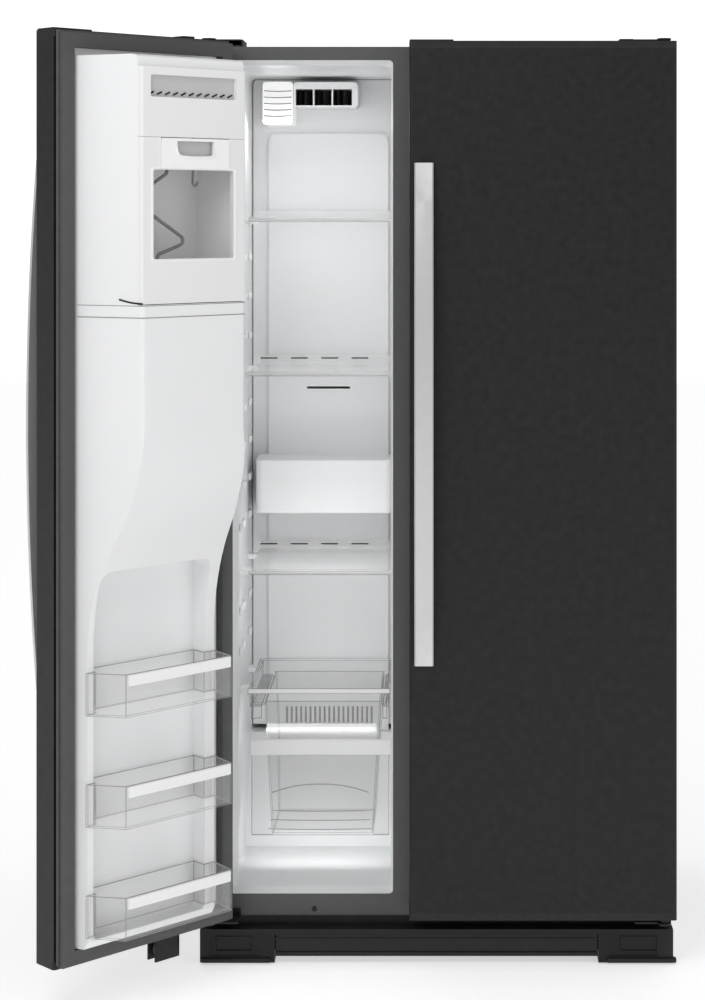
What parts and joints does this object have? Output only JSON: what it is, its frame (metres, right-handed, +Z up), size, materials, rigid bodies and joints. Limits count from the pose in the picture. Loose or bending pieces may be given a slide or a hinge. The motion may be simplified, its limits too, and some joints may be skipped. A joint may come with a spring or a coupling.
{
  "type": "side by side refrigerator",
  "caption": "Counter-depth side by side refrigerator: freezer with shelves, drawer and ice bin on the left, fridge with glass shelves and crispers on the right, two doors on corner hinges.",
  "frame": {"origin": "on the floor, under the middle of the cabinet, in the plane of the closed doors' front faces", "axes": "+Z up, +Y from the doors towards the back, +X towards the fridge side"},
  "size_m": [1.1963, 0.9963, 1.7715],
  "materials": {
    "black_enamel": "satin",
    "grey_frame": "satin",
    "galvanised": "satin",
    "white_liner": "satin",
    "foam": "matte",
    "black_plastic": "satin",
    "grey_gasket": "matte",
    "clear_plastic": "gloss",
    "frosted_plastic": "satin",
    "white_trim": "satin",
    "door_steel": "satin",
    "handle_steel": "satin",
    "shelf_glass": "gloss",
    "fin_aluminium": "satin",
    "compressor_black": "satin",
    "screw_steel": "satin",
    "roller_nylon": "matte",
    "panel_black": "gloss"
  },
  "bodies": {
    "cabinet": {"air_duct": "white_liner", "base_frame": "galvanised", "cabinet_shell": "black_enamel", "compressor": "compressor_black", "condenser_coil": "compressor_black", "control_tower": "white_trim", "drain_pan": "black_plastic", "drawer_cover_shelf": "white_trim", "evaporator_coil": "fin_aluminium", "evaporator_cover": "white_liner", "fan_shroud": "white_liner", "frame_screws": "screw_steel", "freezer_lamp_cover": "frosted_plastic", "freezer_liner": "white_liner", "freezer_shelf_lower": "white_trim", "freezer_shelf_middle": "white_trim", "freezer_shelf_top": "white_trim", "fridge_liner": "white_liner", "fridge_shelves": "shelf_glass", "front_frame": "grey_frame", "hinge_brackets": "galvanised", "hinge_covers": "black_plastic", "insulation_foam": "foam", "machine_cover": "galvanised", "rear_panel": "galvanised", "toe_grille": "black_plastic"},
    "freezer_door": {"freezer_door_panel": "door_steel", "freezer_door_caps": "black_plastic", "freezer_door_liner": "white_liner", "freezer_door_gasket": "grey_gasket", "freezer_handle": "handle_steel", "ice_maker": "fin_aluminium", "ice_maker_cover": "white_trim", "door_bin_upper": "clear_plastic", "door_bin_middle": "clear_plastic", "door_bin_lower": "clear_plastic", "bin_trim_bars": "white_trim", "dispenser_housing": "black_plastic", "dispenser_panel": "panel_black", "drip_tray": "black_plastic"},
    "ice_bin_unit": {"ice_bin": "white_trim", "ice_bin_window": "clear_plastic"},
    "ice_bin_latch": {"ice_latch": "white_trim"},
    "ice_stirrer": {"ice_auger": "handle_steel"},
    "paddle": {"dispenser_paddle": "black_plastic"},
    "fridge_door": {"fridge_door_panel": "door_steel", "fridge_door_caps": "black_plastic", "fridge_door_liner": "white_liner", "fridge_door_gasket": "grey_gasket", "fridge_handle": "handle_steel", "fridge_door_bins": "clear_plastic"},
    "drawer": {"freezer_drawer": "frosted_plastic", "drawer_handle_bar": "white_trim"},
    "upper_crisper": {"crisper_upper": "clear_plastic"},
    "lower_crisper": {"crisper_lower": "clear_plastic"},
    "cold_air_fan": {"evaporator_fan": "white_trim"},
    "cooling_fan": {"condenser_fan": "black_plastic"},
    "rollers": {"rear_rollers": "roller_nylon"},
    "left_foot": {"levelling_foot_left": "black_plastic"},
    "right_foot": {"levelling_foot_right": "black_plastic"}
  },
  "joints": [
    {"name": "freezer_door_hinge", "type": "hinge", "parent": "cabinet", "child": "freezer_door", "pos_m": [-0.4335, 0.022, 0.9], "axis": [0, 0, -1], "range_deg": [-135.5, 4.5]},
    {"name": "fridge_door_hinge", "type": "hinge", "parent": "cabinet", "child": "fridge_door", "pos_m": [0.4335, 0.022, 0.9], "axis": [0, 0, 1], "range_deg": [0, 135]},
    {"name": "freezer_drawer_slide", "type": "slide", "parent": "cabinet", "child": "drawer", "axis": [0, -1, 0], "range_m": [0, 0.24]},
    {"name": "crisper_upper_slide", "type": "slide", "parent": "cabinet", "child": "upper_crisper", "axis": [0, -1, 0], "range_m": [0, 0.066]},
    {"name": "crisper_lower_slide", "type": "slide", "parent": "cabinet", "child": "lower_crisper", "axis": [0, -1, 0], "range_m": [0, 0.066]},
    {"name": "ice_bin_slide", "type": "slide", "parent": "freezer_door", "child": "ice_bin_unit", "axis": [0.7009, -0.7133, 0], "range_m": [0, 0.15]},
    {"name": "ice_latch_tilt", "type": "hinge", "parent": "ice_bin_unit", "child": "ice_bin_latch", "pos_m": [-0.4373, -0.22709, 1.566], "axis": [-0.7133, -0.7009, 0], "range_deg": [0, 12], "stiffness_Nm_per_rad": 0.05},
    {"name": "ice_stirrer_spin", "type": "hinge", "parent": "ice_bin_unit", "child": "ice_stirrer", "pos_m": [-0.48746, -0.18175, 1.416], "axis": [0, 0, 1], "continuous": true},
    {"name": "dispenser_paddle_push", "type": "hinge", "parent": "freezer_door", "child": "paddle", "pos_m": [-0.53543, -0.12723, 1.225], "axis": [-0.7133, -0.7009, 0], "range_deg": [0, 9], "stiffness_Nm_per_rad": 0.3},
    {"name": "evaporator_fan_spin", "type": "hinge", "parent": "cabinet", "child": "cold_air_fan", "pos_m": [-0.23, 0.551, 0.8665], "axis": [0, 1, 0], "continuous": true},
    {"name": "condenser_fan_spin", "type": "hinge", "parent": "cabinet", "child": "cooling_fan", "pos_m": [0.073, 0.59, 0.168], "axis": [1, 0, 0], "continuous": true},
    {"name": "rear_rollers_spin", "type": "hinge", "parent": "cabinet", "child": "rollers", "pos_m": [0, 0.64, 0.024], "axis": [1, 0, 0], "continuous": true},
    {"name": "levelling_foot_left_turn", "type": "hinge", "parent": "cabinet", "child": "left_foot", "pos_m": [-0.405, 0.112, 0.04], "axis": [0, 0, 1], "continuous": true},
    {"name": "levelling_foot_right_turn", "type": "hinge", "parent": "cabinet", "child": "right_foot", "pos_m": [0.405, 0.112, 0.04], "axis": [0, 0, 1], "continuous": true}
  ]
}
